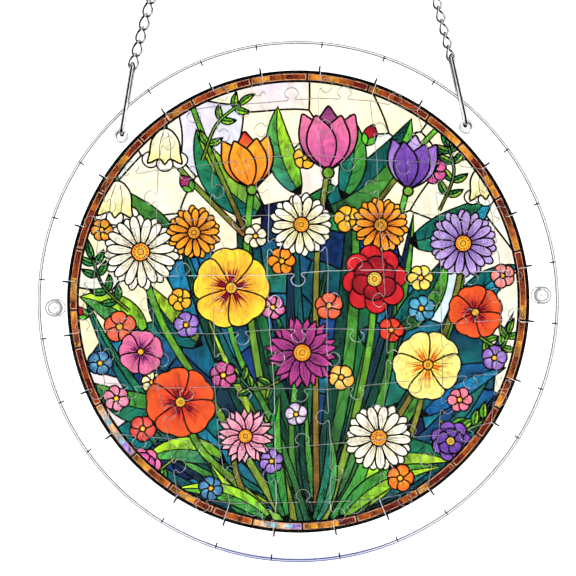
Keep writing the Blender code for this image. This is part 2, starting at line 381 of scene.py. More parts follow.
def leaf(root, tip, width, bend, near, far, shade=None, veins=5):
    """Two blades with a rib between them; shade is the darker blade's colour."""
    rib = bent(root, tip, bend)
    last = len(rib) - 1
    sides = []
    for side in (-1, 1):
        edge = []
        for index, here in enumerate(rib):
            along = heading(rib, index)
            half = width / 2 * math.sin(math.pi * (index / last) ** 0.8) ** 0.8 if 0 < index < last else 0.0
            edge.append((here[0] - along.y * half * side, here[1] + along.x * half * side))
        sides.append(edge)
    pane(grown(sides[0] + sides[1][-2:0:-1], LINE / 2), "lead", "lead")
    reach = (Vector(tip) - Vector(root)).length
    for edge, ends in zip(sides, ((near, far), (shade or near, near))):
        blade = rib[1:-1] + edge[-1:0:-1]
        pane(grown(blade, -LINE * 0.32), "leaf_glass", *ends, root, reach)
    for step in range(1, veins + 1):
        index = round(step / (veins + 1) * last * 0.86)
        for edge in sides:
            end = Vector(rib[index]).lerp(Vector(edge[min(index + 2, last)]), 0.72)
            lead_line([rib[index], tuple(end)], VEIN, VEIN * 0.4)


def stem(points, width, near, far):
    """A long pane along a curve, a little thinner at its upper end."""
    path = smooth(points, closed=False, steps=6)
    pane(drawn(path, (width + LINE, width * 0.8 + LINE)), "lead", "lead")
    reach = (Vector(points[-1]) - Vector(points[0])).length
    glass = drawn(path, (width - LINE * 0.4, width * 0.8 - LINE * 0.4))
    pane(glass, "leaf_glass", near, far, points[0], reach)


def sprig(points, size, near, far, pairs=4):
    """A thin stem with small leaves on both sides."""
    path = smooth(points, closed=False, steps=6)
    for step in range(1, pairs + 1):
        index = round(step / (pairs + 0.6) * (len(path) - 1))
        along = heading(path, index)
        course = math.atan2(along.y, along.x)
        for side in (-1, 1):
            tip = polar(size, course + side * 0.85, path[index])
            leaf(path[index], tip, size * 0.42, side * 0.08, near, far, veins=2)
    stem(points, 0.9, "olive", near)
    leaf(path[-2], polar(size, course, path[-1]), size * 0.4, 0.05, near, far, veins=2)


# %% [markdown]
# ## The foliage
# Long blades fan out from the foot of the picture and fill the space between the stems. The far
# ones come first, in blue and dark green, and the near ones after them, in brighter greens.

# %% Fan of blades and broad leaves
FOOT = (4.0, -88.0)
BLADES = [
    (-80, -42, 12, 0.10, "night", "teal"), (-68, -8, 13, 0.08, "fir", "lagoon"), (-84, 6, 12, 0.12, "teal", "grass"),
    (80, -34, 12, -0.10, "night", "teal"), (84, -6, 14, -0.12, "sea", "grass"), (66, 12, 12, -0.08, "fir", "leaf"),
    (-46, 30, 13, 0.06, "fir", "teal"), (46, 34, 14, -0.05, "night", "leaf"), (-22, 52, 14, 0.05, "fir", "grass"),
    (22, 58, 15, -0.04, "fir", "leaf"), (0, 44, 12, 0.03, "night", "teal"), (-60, -52, 10, 0.06, "night", "leaf"),
    (64, -54, 10, -0.07, "sea", "grass"), (-36, -4, 11, 0.05, "fir", "lime"), (38, 0, 12, -0.06, "fir", "leaf"),
    (-14, 8, 10, -0.04, "night", "grass"), (12, 14, 11, 0.05, "fir", "grass"), (-40, -58, 8, 0.08, "fir", "lime"),
    (44, -62, 9, -0.08, "grass", "lime"), (-20, -40, 8, 0.06, "fir", "leaf"), (24, -38, 9, -0.06, "night", "leaf"),
    (2, -36, 8, 0.04, "fir", "leaf"), (-28, -70, 6, 0.1, "sea", "teal"), (30, -72, 6, -0.1, "leaf", "lime"),
]
for x, z, width, bend, near, far in BLADES:
    leaf(polar(random.uniform(0, 7), random.uniform(0, math.pi), FOOT), (x, z), width * 0.62, bend, near, far, "fir")

BROAD = [
    ((-46, 26), (-74, 50), 15, 0.12, "fir", "leaf"), ((44, 22), (77, 40), 14, -0.10, "grass", "lagoon"),
    ((-12, 34), (-38, 68), 14, 0.12, "grass", "lime"), ((10, 36), (46, 70), 15, -0.12, "fir", "leaf"),
    ((-60, -12), (-85, 4), 12, -0.1, "leaf", "lime"), ((62, -14), (86, 12), 12, 0.12, "teal", "lagoon"),
    ((-50, -40), (-80, -30), 12, 0.14, "grass", "leaf"), ((46, -46), (80, -28), 13, 0.1, "sea", "lagoon"),
    ((-30, -62), (-62, -60), 10, -0.14, "leaf", "lime"), ((26, -64), (58, -64), 11, 0.12, "grass", "lime"),
    ((2, 42), (-6, 76), 11, 0.1, "leaf", "lime"), ((18, 40), (22, 72), 10, -0.1, "grass", "leaf"),
    ((36, -12), (58, 16), 12, -0.1, "fir", "leaf"), ((-38, -16), (-58, 8), 12, 0.1, "fir", "lime"),
]
for entry in BROAD:
    leaf(*entry, "teal")
print("leaves so far:", len(BLADES) + len(BROAD))

# %% [markdown]
# ## Petals and flower hearts
# One petal outline does for a whole flower. Each kind of petal is a short row of half widths
# along its length. A flower is its petals in a circle, each with fine veins, and a heart on top
# with small dots for the stamens.

# %% Petal shapes and hearts
PETALS = {
    "long": [(0.10, 0.14), (0.30, 0.55), (0.58, 0.96), (0.80, 1.0), (0.94, 0.66), (1.0, 0.0)],
    "pointed": [(0.10, 0.20), (0.28, 0.74), (0.50, 1.0), (0.72, 0.84), (0.90, 0.36), (1.0, 0.0)],
    "broad": [
        (0.06, 0.10), (0.24, 0.42), (0.50, 0.84), (0.74, 1.04), (0.92, 0.80), (1.0, 0.34), (0.97, 0.0),
    ],
    "round": [(0.10, 0.22), (0.30, 0.68), (0.55, 1.0), (0.80, 0.92), (0.96, 0.50), (1.0, 0.0)],
}


def petal(kind, length, width):
    """A petal outline along the x axis, its root at the origin."""
    side = [(x * length, z * width / 2) for x, z in PETALS[kind]]
    return smooth([(0.02 * length, 0.0)] + [(x, -z) for x, z in side] + side[-2::-1], steps=3)


def petals(centre, radius, count, kind, near, far, fill=1.1, turn=0.0, veins=2, flare=None):
    """A circle of petals, some of them a little longer or shorter."""
    width = 2 * math.pi * radius * 0.62 / count * fill
    for index in range(count):
        angle = turn + index * math.tau / count + random.uniform(-0.05, 0.05)
        length = radius * random.uniform(0.93, 1.03)
        outline = placed(petal(kind, length, width), angle, centre)
        leaded(outline, "petal_glass", near, far, centre, length, LINE * 0.85)
        if flare:
            for spread in (-0.30, -0.12, 0.06, 0.22):
                reach = length * random.uniform(0.42, 0.62)
                streak = [polar(length * 0.10, angle, centre), polar(reach, angle + spread, centre)]
                pane(drawn(streak, (radius * 0.10, 0.1)), "petal_glass", flare)
        for vein in range(veins):
            offset = (vein + 0.5) / veins - 0.5
            start = placed([(length * 0.2, offset * width * 0.3)], angle, centre)[0]
            end = placed([(length * random.uniform(0.55, 0.78), offset * width * 0.62)], angle, centre)[0]
            lead_line([start, end], VEIN, VEIN * 0.35)


def heart(centre, radius, near, far, dots="bark"):
    leaded(ring(radius, 18, centre), "petal_glass", near, far, centre, radius, LINE * 0.8)
    if radius > 1.6:
        for spot in ring(radius * 0.68, max(7, round(radius * 4)), centre):
            pane(ring(radius * 0.10, 6, spot), "petal_glass", dots)
        core = ring(radius * 0.34, 12, centre)
        leaded(core, "petal_glass", "amber", "straw", centre, radius, VEIN)


# %% Kinds of flower
def daisy(centre, radius, near, far, count=14, kind="long", core=("sun", "orange"), turn=0.0):
    petals(centre, radius, count, kind, near, far, 0.94, turn + 0.2, veins=1)
    petals(centre, radius * 0.94, count, kind, near, far, 0.98, turn, veins=2)
    heart(centre, radius * 0.24, *core)


def open_bloom(centre, radius, near, far, flare=None, count=5, turn=0.0, core=("sun", "amber")):
    petals(centre, radius, count, "broad", near, far, 1.32, turn, veins=4, flare=flare)
    heart(centre, radius * 0.15, *core)


def double_bloom(centre, radius, near, far, turn=0.0, count=8):
    petals(centre, radius, count, "round", near, far, 1.34, turn, veins=2)
    petals(centre, radius * 0.66, count - 2, "round", far, near, 1.34, turn + 0.3, veins=1)
    heart(centre, radius * 0.22, "sun", "straw")


def little_bloom(centre, radius, near, far, count=5, turn=0.0):
    petals(centre, radius, count, "round", near, far, 1.22, turn, veins=1)
    heart(centre, radius * 0.22, "sun", "orange")


def tulip(foot, height, lean, near, far, back):
    """A cup of five petals, seen from the side."""
    for spread, length, wide, *ends in (
        (-0.42, 0.96, 0.42, back, near), (0.42, 0.96, 0.42, back, near), (0.0, 1.0, 0.46, near, back),
        (-0.22, 0.88, 0.44, far, near), (0.22, 0.88, 0.44, far, near),
    ):
        angle = math.pi / 2 + lean + spread
        outline = placed(petal("pointed", height * length, height * wide), angle, foot)
        leaded(outline, "petal_glass", *ends, foot, height)
        vein = placed([(height * 0.16, 0.0), (height * 0.7, 0.0)], angle, foot)
        lead_line(vein, VEIN, VEIN * 0.4)
    leaded(ring(height * 0.09, 10, foot), "leaf_glass", "leaf", "olive", foot, height * 0.1)


def nodding_bell(top, height, lean, near, far, lip):
    """A small bell that hangs from the end of an arched stem."""
    axis = -math.pi / 2 + lean
    for spread in (-0.62, 0.62, 0.0):
        seat = polar(height * 0.62, axis + spread * 0.5, top)
        lobe = placed(petal("round", height * 0.5, height * 0.42), axis + spread * 1.1, seat)
        leaded(lobe, "petal_glass", lip, near, top, height, LINE * 0.85)
    cup = [(0.0, 0.0), (0.10, 0.20), (0.34, 0.36), (0.66, 0.40), (0.92, 0.44)]
    shape = cup + [(0.80, 0.14), (0.94, 0.0), (0.80, -0.14)] + [(x, -z) for x, z in cup[:0:-1]]
    leaded(smooth(placed(shape, axis, top, height), steps=3), "petal_glass", near, far, top, height)
    for side in (-0.14, 0.14):
        rib = placed([(0.10, side * 0.4), (0.45, side), (0.80, side)], axis, top, height)
        lead_line(smooth(rib, closed=False), VEIN, VEIN)


def bud(centre, size, angle, colour):
    cup = placed(petal("pointed", size, size * 0.6), angle, centre)
    leaded(cup, "petal_glass", colour, "wine", centre, size, LINE * 0.8)
    for side in (-0.5, 0.5):
        sepal = placed(petal("pointed", size * 0.6, size * 0.28), angle + side, centre)
        leaded(sepal, "leaf_glass", "leaf", line=LINE * 0.7)


# %% [markdown]
# ## The bouquet
# The flowers are set out as a bouquet: tall ones at the top against the pale glass, big
# open ones in the middle, and small ones in the gaps. Their stems are drawn first and all run
# down to the same foot.

# %% Stems of the bouquet
STEMS = [
    [(-3, -88), (-14, -40), (-20, 10), (-17, 46)], [(5, -88), (6, -30), (8, 20), (13, 52)],
    [(9, -88), (22, -36), (34, 10), (44, 44)], [(-6, -88), (-30, -46), (-52, -10), (-62, 20)],
    [(12, -88), (34, -52), (56, -16), (66, 20)], [(-1, -88), (-4, -60), (-3, -40), (0, -20)],
    [(-8, -88), (-26, -70), (-40, -56), (-47, -38)], [(14, -88), (28, -74), (42, -54), (50, -28)],
    [(2, -88), (-10, -50), (-24, -20), (-30, 6)], [(7, -88), (18, -56), (27, -20), (30, 6)],
    [(-10, -88), (-20, -80), (-26, -66), (-27, -52)], [(16, -88), (24, -80), (30, -70), (30, -58)],
]
STEM_KINDS = [(2.9, "olive", "leaf"), (2.4, "bark", "olive"), (2.4, "fir", "leaf")]
for index, points in enumerate(STEMS):
    stem(points, *STEM_KINDS[index % 3])

ARCHES = [
    ([(-20, 26), (-44, 52), (-58, 72), (-70, 56), (-69, 48)], (-69, 49), 15.5, -0.12),
    ([(-20, 28), (-34, 62), (-42, 82), (-50, 76), (-50, 68)], (-50, 69), 15.0, -0.05),
    ([(26, 30), (50, 60), (62, 68), (72, 56), (73, 50)], (73, 51), 14.0, 0.10),
]
for points, top, size, lean in ARCHES:
    stem(points, 1.8, "bark", "leaf")
for points, top, size, lean in ARCHES:
    nodding_bell(top, size, lean, "white", "lemon", "amber")
print("stems:", len(STEMS) + len(ARCHES))

# %% Sprigs and the leaves in front of the stems
sprig([(-50, -60), (-60, -66), (-68, -60)], 7.0, "leaf", "lime")
sprig([(54, -48), (64, -52), (74, -46)], 7.0, "leaf", "lime")
sprig([(-66, -2), (-76, 8), (-80, 20)], 6.5, "grass", "leaf")
sprig([(56, 34), (62, 48), (60, 60)], 6.5, "grass", "lime")
sprig([(-36, 56), (-30, 70), (-20, 78)], 6.0, "leaf", "lime", 3)
FRONT_LEAVES = [
    ((8, -88), (27, -44), 9, -0.16, "leaf", "lime"), ((0, -88), (-36, -62), 8, 0.15, "grass", "lime"),
    ((13, -87), (54, -66), 8, 0.13, "leaf", "lime"), ((-6, -87), (-8, -36), 7, 0.08, "grass", "leaf"),
    ((3, -88), (10, -50), 6, -0.10, "teal", "leaf"), ((-12, -86), (-50, -72), 7, -0.12, "leaf", "lime"),
]
for entry in FRONT_LEAVES:
    leaf(*entry, "grass")
sprig([(-6, -30), (-18, -34), (-24, -28)], 6.0, "grass", "lime", 3)
sprig([(68, -14), (78, -20), (82, -14)], 5.5, "leaf", "lime", 3)

# %% Flowers, from the far ones to the near ones
LITTLE = [
    (-78, -22, 5.0, "sky", "sea"), (-72, -36, 5.2, "pink", "rose"), (76, -24, 5.2, "lilac", "violet"),
    (-6, 16, 5.5, "amber", "orange"), (12, -2, 5.6, "coral", "ember"), (48, -4, 5.4, "sky", "lagoon"),
    (-44, -8, 5.2, "lilac", "violet"), (-10, -2, 5.0, "pink", "magenta"), (20, 32, 5.4, "sun", "amber"),
    (48, 8, 5.2, "lemon", "sun"), (-46, 2, 4.6, "sun", "amber"), (-16, 26, 4.8, "white", "butter"),
    (16, -30, 5.2, "lemon", "amber"), (-30, -28, 5.6, "rose", "magenta"), (-62, -48, 5.4, "coral", "red"),
    (62, -40, 5.0, "coral", "rose"), (36, -12, 5.0, "ember", "red"), (-12, -62, 5.0, "lilac", "violet"),
    (38, -70, 5.4, "amber", "ember"), (-36, -72, 5.0, "sky", "sea"), (4, 56, 4.6, "sun", "amber"),
    (-76, 30, 4.6, "sun", "orange"), (-70, -8, 6.4, "coral", "ember"), (54, 50, 5.6, "rose", "magenta"),
    (-2, -44, 4.6, "white", "lilac"), (-58, -30, 4.4, "white", "lemon"), (80, 8, 4.8, "pink", "coral"),
]
for index, (x, z, radius, near, far) in enumerate(LITTLE):
    little_bloom((x, z), radius, near, far, 5 + index % 2, turn=index * 0.7)

tulip((-17, 44), 23, 0.10, "amber", "orange", "red")
tulip((13, 50), 26, -0.03, "rose", "magenta", "plum")
tulip((44, 42), 22, -0.16, "violet", "purple", "lilac")
bud((28, 60), 9, 1.2, "red")
bud((-40, 44), 8, 2.2, "magenta")
bud((-82, -4), 7, 2.6, "red")

daisy((-61, 21), 15.0, "butter", "white", 15, turn=0.1)
daisy((65, 21), 13.5, "violet", "lilac", 14, turn=0.05)
daisy((-40, 28), 10.5, "orange", "amber", 13, core=("bark", "amber"))
daisy((33, 29), 11.0, "ember", "amber", 13, turn=0.1, core=("bark", "amber"))
open_bloom((69, -6), 10.5, "red", "ember", "wine", turn=0.5)
open_bloom((-62, -18), 9.0, "magenta", "rose", "plum", turn=0.2)
double_bloom((30, 8), 13.5, "wine", "red", turn=0.1)
daisy((2, 30), 12.5, "lemon", "white", 13, turn=0.25)
open_bloom((-26, 6), 15.5, "orange", "sun", "wine", turn=0.31)
daisy((1, -20), 14.5, "plum", "magenta", 12, "pointed", turn=0.12)
open_bloom((50, -26), 13.5, "sun", "lemon", "orange", turn=0.9)
open_bloom((-47, -38), 14.0, "red", "ember", "wine", turn=0.66)
daisy((30, -54), 13.5, "butter", "white", 13, turn=0.4, core=("orange", "amber"))
daisy((-22, -52), 11.5, "rose", "pink", 12, "pointed", turn=0.3)
double_bloom((58, -56), 8.0, "purple", "violet", count=7)
double_bloom((-62, -62), 7.0, "magenta", "rose", count=7)
print("panes in the picture:", len(panes))

# %% [markdown]
# ## The border
# A ring of short amber pieces frames the picture. Each has a pale line along both long edges and
# black lead all round. Outside it the acrylic stays clear, apart from short black ticks beside the
# cuts where they leave the print and where they reach the rim, painted shade of the cut ends.

# %% Border segments and the clear margin
PRINT_RADIUS = 90.3
BORDER_INNER = 85.6
OUTER_LINE = 1.3
INNER_LINE = 0.95


def sector(inner, outer, start, end):
    """A piece of a flat ring between two angles."""
    steps = max(2, round((end - start) / math.radians(1.5)))
    turns = [start + (end - start) * step / steps for step in range(steps + 1)]
    return [polar(outer, turn) for turn in turns] + [polar(inner, turn) for turn in turns[::-1]]


BORDER_COLOURS = ["rust", "maroon", "copper", "rust", "maroon", "gold", "maroon"]
BORDER_START = 0.2
BORDER_END = BORDER_START + math.tau
GAP = 0.0042
BLEND_RADIUS = 90
COLD_SEGMENTS = (14, 18)
COLD_PAIRS = [("sky", "lagoon"), ("violet", "lilac"), ("gold", "sky")]
low, high = BORDER_INNER + INNER_LINE, PRINT_RADIUS - OUTER_LINE
turn, segment = BORDER_START, 0
while turn < BORDER_END - 0.05:
    end = turn + random.uniform(0.13, 0.30)
    if end > BORDER_END - 0.12:
        end = BORDER_END
    pane(sector(BORDER_INNER, PRINT_RADIUS, turn, end), "lead", "lead")
    pane(sector(low, high, turn + GAP, end - GAP), "border_glass", "shell")
    here, stop = turn + GAP * 2.0, end - GAP * 2.0
    while here < stop - 0.01:
        there = min(stop, here + random.uniform(0.05, 0.12))
        near, far = random.sample(BORDER_COLOURS, 2)
        if segment in COLD_SEGMENTS:
            near, far = random.choice(COLD_PAIRS)
        middle, length = polar((low + high) / 2, here), (there - here) * BLEND_RADIUS
        inlay = sector(low + 0.24, high - 0.24, here, there)
        pane(inlay, "border_glass", near, far, middle, length)
        here = there
    pane(sector(PRINT_RADIUS, DISC_RADIUS + 2.0, turn, end), "clear", "white")
    turn = end
    segment += 1
print("border segments:", segment)

# %% [markdown]
# ## The cuts of the jigsaw
# The laser cuts run in nine bent rows and columns, with one round knob on each cut. Both
# neighbours are drawn from the same cut, so they always match. Each outline is then moved in by
# half the width of the cut, and a thin gap is left for the light.

# %% Cuts and knobs
CELLS = 9
SEEN_CUT = 0.08
CUT_WANDER = 0.8
CUT_BOW = 0.4
KNOB_WIDTH = 5.4
CLEAR_MARGIN = 11.3
KNOB_SHAPE = [
    (-3.4, 0.0), (-2.1, 0.05), (-1.38, 0.5), (-1.65, 1.15), (-2.45, 1.75),
    (-2.7, 2.7), (-2.1, 4.0), (-1.0, 4.82), (0.0, 5.0),
]


def crossing(place):
    """Where an upright and a level cut cross."""
    column, row = place
    spacing = 2 * DISC_RADIUS / CELLS
    across, up = (column - CELLS / 2) * spacing, (row - CELLS / 2) * spacing
    x = across * math.sqrt(1.0 - CUT_BOW * (up / DISC_RADIUS) ** 2)
    z = up * math.sqrt(1.0 - CUT_BOW * (across / DISC_RADIUS) ** 2)
    x += CUT_WANDER * math.sin(2.3 * column + 1.7 * row)
    z += CUT_WANDER * math.cos(1.9 * column - 2.1 * row)
    return Vector((x, z))


def knobbed(start, end, side):
    """The points from start to end of a cut with a round knob on one side."""
    along = (end - start).normalized()
    out = Vector((-along.y, along.x)) * side
    middle = (start + end) / 2
    shape = KNOB_SHAPE + [(-a, b) for a, b in reversed(KNOB_SHAPE[:-1])]
    knob = smooth([tuple(middle + along * a + out * b) for a, b in shape], closed=False, steps=3)
    return [start] + [Vector(point) for point in knob] + [end]


def inner_cut(first, second):
    low, high = sorted((first, second))
    side = -1 if (low[0] + low[1] + low[0] * low[1] // 3) % 2 else 1
    points = knobbed(crossing(low), crossing(high), side)
    return (points if first == low else points[::-1])[:-1]


def rim_cut(place):
    """The cut from a crossing out to the rim."""
    start = crossing(place)
    outward = start.normalized()
    print_edge = outward * (DISC_RADIUS - CLEAR_MARGIN)
    rim = outward * (DISC_RADIUS + SEEN_CUT / 2)
    if (print_edge - start).dot(outward) < 1.4 * KNOB_WIDTH:
        return [start, rim]
    return knobbed(start, print_edge, -1 if sum(place) % 2 else 1)[:-1] + [rim]


def walk_round():
    """The crossings round the inner pieces, anticlockwise from the lower left."""
    low, high = 1, CELLS - 1
    run, back = range(low + 1, high), range(high - 1, low, -1)
    walk = [(column, low) for column in run] + [(high - 1, low + 1)]
    walk += [(high, row) for row in run] + [(high - 1, high - 1)]
    walk += [(column, high) for column in back] + [(low + 1, high - 1)]
    return walk + [(low, row) for row in back] + [(low + 1, low + 1)]


walk = walk_round()
reaching = [index for index, place in enumerate(walk) if {*place} & {1, CELLS - 1}]
print("cuts that reach the rim:", len(reaching))

# %% Outlines of all the pieces
ARC_STEPS = 16


def edge_piece(number):
    """The outline of one edge piece: out along a cut, round the rim and back."""
    begin, end = reaching[number], reaching[(number + 1) % len(reaching)]
    if end <= begin:
        end += len(walk)
    places = [walk[index % len(walk)] for index in range(begin, end + 1)]
    outline = rim_cut(places[0])[:0:-1]
    for pair in zip(places, places[1:]):
        outline += inner_cut(*pair)
    outline += rim_cut(places[-1])
    start, stop = (math.atan2(point.y, point.x) for point in (outline[0], outline[-1]))
    stop += math.tau if stop < start else 0.0
    turns = [stop + (start - stop) * step / ARC_STEPS for step in range(1, ARC_STEPS)]
    arc = [polar(DISC_RADIUS + SEEN_CUT / 2, turn) for turn in turns]
    return [tuple(point) for point in outline] + arc


def inner_piece(column, level):
    corners = [(column, level), (column + 1, level), (column + 1, level + 1), (column, level + 1)]
    outline = []
    for pair in zip(corners, corners[1:] + corners[:1]):
        outline += inner_cut(*pair)
    return [tuple(point) for point in outline]


jigsaw = {}
for column in range(1, CELLS - 1):
    for level in range(1, CELLS - 1):
        if {column, level} - {1, CELLS - 2}:
            spot = f"r{CELLS - 1 - level}c{column}"
            jigsaw["jigsaw_" + spot] = (inner_piece(column, level), "tile_" + spot)
for number in range(len(reaching)):
    node = f"edge_tiles_{number // 4 + 1}"
    jigsaw[f"jigsaw_edge_{number + 1:02d}"] = (edge_piece(number), node)
print("jigsaw pieces:", len(jigsaw))

# %% Painted shade: black ticks beside the cuts in the margin
TICK_ASIDE = 0.45
TICKS = [
    (PRINT_RADIUS - 0.2, PRINT_RADIUS + 2.1, 0.8),
    (DISC_RADIUS - 2.4, DISC_RADIUS - 0.2, 0.6),
]
for index in reaching:
    outward = rim_cut(walk[index])[-1].normalized()
    aside = Vector((-outward.y, outward.x)) * TICK_ASIDE
    for start, end, wide in TICKS:
        lead_line([tuple(outward * out + aside) for out in (start, end)], wide, wide * 0.8)

# %% Holes through the margin
HOLE_RADIUS = 1.85
COUNTERSINK = 0.9
RIVET_HOLE_RADIUS = 2.3
HOLE_DISTANCE = DISC_RADIUS - 6.6
HOLE_ANGLE = math.radians(45.4)
SIDES = {"left": -1, "right": 1}


def hole_centre(side):
    return (side * HOLE_DISTANCE * math.sin(HOLE_ANGLE), HOLE_DISTANCE * math.cos(HOLE_ANGLE))


HOLES = []
for side in SIDES.values():
    HOLES += [(*hole_centre(side), HOLE_RADIUS), (side * HOLE_DISTANCE, 0.0, RIVET_HOLE_RADIUS)]
for x, z, radius in HOLES:
    pane(ring(radius, 32, (x, z)), "hole", "white")

# %% [markdown]
# ## Cutting the picture into the pieces
# All outlines, of panes and of jigsaw pieces, go into one flat triangulation that keeps every
# line. Counting how often an outline runs round the middle of a triangle says whether it lies
# inside. The highest pane gives a triangle its colour, and the jigsaw outline says which piece
# it belongs to. A triangle in no piece lies in a cut and is left out. A fine strip beside each
# cut in the print gets the grey finish of the cut walls, painted shade that shows the cut as a line.

# %% One flat partition
CUT_MARK = 0.08
mark = len(panes)
panes.append(([], "cut", linear("lead"), linear("lead"), Vector((0.0, 0.0)), 1.0, 0.5))

bodies = {name: grown(entry[0], -SEEN_CUT / 2) for name, entry in jigsaw.items()}
cores = {name: grown(entry[0], -SEEN_CUT / 2 - CUT_MARK) for name, entry in jigsaw.items()}
corners, lines = [], []
for outline in [entry[0] for entry in panes[:mark]] + [*bodies.values()] + [*cores.values()]:
    first, count = len(corners), len(outline)
    corners += [Vector(point) for point in outline]
    lines += [(first + index, first + (index + 1) % count) for index in range(count)]
flat, _, triangles, _, _, _ = delaunay_2d_cdt(corners, lines, [], 0, 1e-4, False)
print("corners put in:", len(corners), "triangles made:", len(triangles))

# %% What lies at each triangle
spots = np.array([(flat[a] + flat[b] + flat[c]) / 3 for a, b, c in triangles])
order = np.argsort(spots[:, 0])
spots_x, spots_z = spots[order].T


def turns_round(outline, x, z):
    """How many times the outline runs round each of the points, anticlockwise."""
    turns = np.zeros(len(x), int)
    for (x1, z1), (x2, z2) in zip(outline, outline[1:] + outline[:1]):
        left = (x2 - x1) * (z - z1) - (x - x1) * (z2 - z1)
        turns += (z1 <= z) & (z2 > z) & (left > 0)
        turns -= (z1 > z) & (z2 <= z) & (left < 0)
    return turns


def inside(outline):
    """The numbers of the triangles whose middle lies inside the outline."""
    x, z = np.array(outline).T
    first, last = np.searchsorted(spots_x, (x.min(), x.max()))
    level = spots_z[first:last]
    near = first + np.flatnonzero((level > z.min()) & (level < z.max()))
    return order[near[turns_round(outline, spots_x[near], spots_z[near]) > 0]]


top = np.full(len(triangles), -1)
for index, entry in enumerate(panes[:mark]):
    top[inside(entry[0])] = index
glass_at = np.array([entry[1] for entry in panes])[top]
pieces_of = {}
for name in jigsaw:
    found = inside(bodies[name])
    # The strip just inside each cut gets the grey cut finish, painted shade that draws the cut.
    marked = np.setdiff1d(found, inside(cores[name]))
    marked = marked[(glass_at[marked] != "clear") & (glass_at[marked] != "hole")]
    top[marked] = mark
    found = found[(top[found] >= 0) & (glass_at[found] != "hole")]
    pieces_of[name] = [(triangles[index], top[index]) for index in found]
print("triangles in the largest piece:", max(len(found) for found in pieces_of.values()))

# %% [markdown]
# ## Materials
# Printed glass is colour with light in it: streaks, cloudy patches and tiny bubbles. One recipe
# serves all the kinds of glass. It takes the pane's own colour from the mesh, makes it lighter
# and darker with stretched noise that differs from pane to pane, and ripples the surface a
# little. Light comes through from behind, as in a window. Clear plastic, ink and wire need only
# fine specks and a ramp or two.

# %% Tools for the materials
def new_material(name):
    made = bpy.data.materials.new(name)
    made.use_nodes = True
    return made, made.node_tree.nodes["Principled BSDF"]


def fill(node, **settings):
    """Sets or links a node's inputs, with _ for each space in a name, and its other settings."""
    for key, value in settings.items():
        socket = node.inputs.get(key.replace("_", " "))
        if socket is None:
            setattr(node, key, value)
        elif isinstance(value, bpy.types.NodeSocket):
            node.id_data.links.new(value, socket)
        else:
            socket.default_value = value
    return node


def add_node(near, kind, **settings):
    """A new node in the same material as the node near."""
    return fill(near.id_data.nodes.new("ShaderNode" + kind), **settings)


def opaque(tone):
    """A grey or a colour, as a colour socket takes it."""
    return (*(tone if isinstance(tone, tuple) else (tone,) * 3), 1.0)


def ramp(near, source, *stops):
    """Greys or colours that follow a value, between two (position, tone) stops."""
    node = add_node(near, "ValToRGB", Fac=source)
    for element, (position, tone) in zip(node.color_ramp.elements, stops):
        element.position, element.color = position, opaque(tone)
    return node.outputs["Color"]


def place_on(near):
    return add_node(near, "TexCoord").outputs["Object"]


def specks(near, fineness, detail=3.0):
    noise = add_node(near, "TexNoise", Vector=place_on(near), Scale=fineness, Detail=detail)
    return noise.outputs["Fac"]


def painted_foot_reflection_or_plain(near, tint, foot, reach):
    """The tint, or a painted reflection: a blend from the colour foot at the foot of the disc to it, reach mm higher.
    """
    if not foot:
        return opaque(tint)
    level = -HANG_HEIGHT - DISC_RADIUS
    height = add_node(near, "SeparateXYZ", Vector=place_on(near)).outputs["Z"]
    share = add_node(near, "MapRange", Value=height, From_Min=level * MM, From_Max=(level + reach) * MM)
    return ramp(near, share.outputs["Result"], (0.25, foot), (1.0, tint))


# %% Recipe for printed glass
ACRYLIC_IOR = 1.49
GLASS_DEPTH = 1.5


def glass_of(name, streak, patch, contrast, roughness, transmission, ripple):
    """Coloured window glass: streak and patch are the sizes of its marks in mm."""
    made, shader = new_material(name)
    colour = add_node(shader, "Attribute", attribute_name="pane_colour").outputs["Color"]
    seed = add_node(shader, "Attribute", attribute_name="pane_seed").outputs["Vector"]
    spread = add_node(shader, "VectorMath", operation="SCALE", Vector=seed, Scale=3.0)
    shifted = add_node(shader, "VectorMath", operation="ADD", Vector=place_on(shader))
    shader.id_data.links.new(spread.outputs["Vector"], shifted.inputs[1])
    marks = []
    for size, stretch, detail in ((streak, 0.35, 4.0), (patch, 1.0, 2.0)):
        drawn_out = add_node(shader, "Mapping", Vector=shifted.outputs["Vector"], Scale=(1.0, 1.0, stretch))
        marks.append(add_node(
            shader, "TexNoise", Vector=drawn_out.outputs["Vector"],
            Scale=1.0 / (size * MM), Detail=detail, Distortion=1.2,
        ).outputs["Fac"])
    both = add_node(shader, "Math", operation="ADD", Value=marks[0])
    shader.id_data.links.new(marks[1], both.inputs[1])
    tone = add_node(
        shader, "MapRange", Value=both.outputs["Value"],
        From_Min=0.7, From_Max=1.3, To_Min=1.0 - contrast, To_Max=1.0 + contrast,
    )
    shaded = add_node(shader, "HueSaturation", Value=tone.outputs["Result"], Color=colour)
    deep = add_node(shader, "Gamma", Color=shaded.outputs["Color"], Gamma=GLASS_DEPTH)
    bump = add_node(shader, "Bump", Height=marks[1], Strength=ripple, Distance=0.0004)
    fill(
        shader, Base_Color=deep.outputs["Color"], Normal=bump.outputs["Normal"],
        Roughness=roughness, Transmission_Weight=transmission,
        Specular_IOR_Level=0.05, Specular_Tint=opaque(0.2), IOR=ACRYLIC_IOR,
    )
    return made


# %% Recipes for clear plastic
def clear_acrylic(name, tint, gloss, foot=None):
    """See-through plastic: tint darkens what is seen through it, gloss is the share it mirrors."""
    made, shader = new_material(name)
    bump = add_node(shader, "Bump", Height=specks(shader, 160.0), Strength=0.02, Distance=0.0002)
    fill(
        shader, Base_Color=painted_foot_reflection_or_plain(shader, tint, foot, 8.0), Normal=bump.outputs["Normal"],
        Roughness=0.0, Transmission_Weight=1.0, Specular_Tint=opaque(gloss), IOR=ACRYLIC_IOR,
    )
    return made


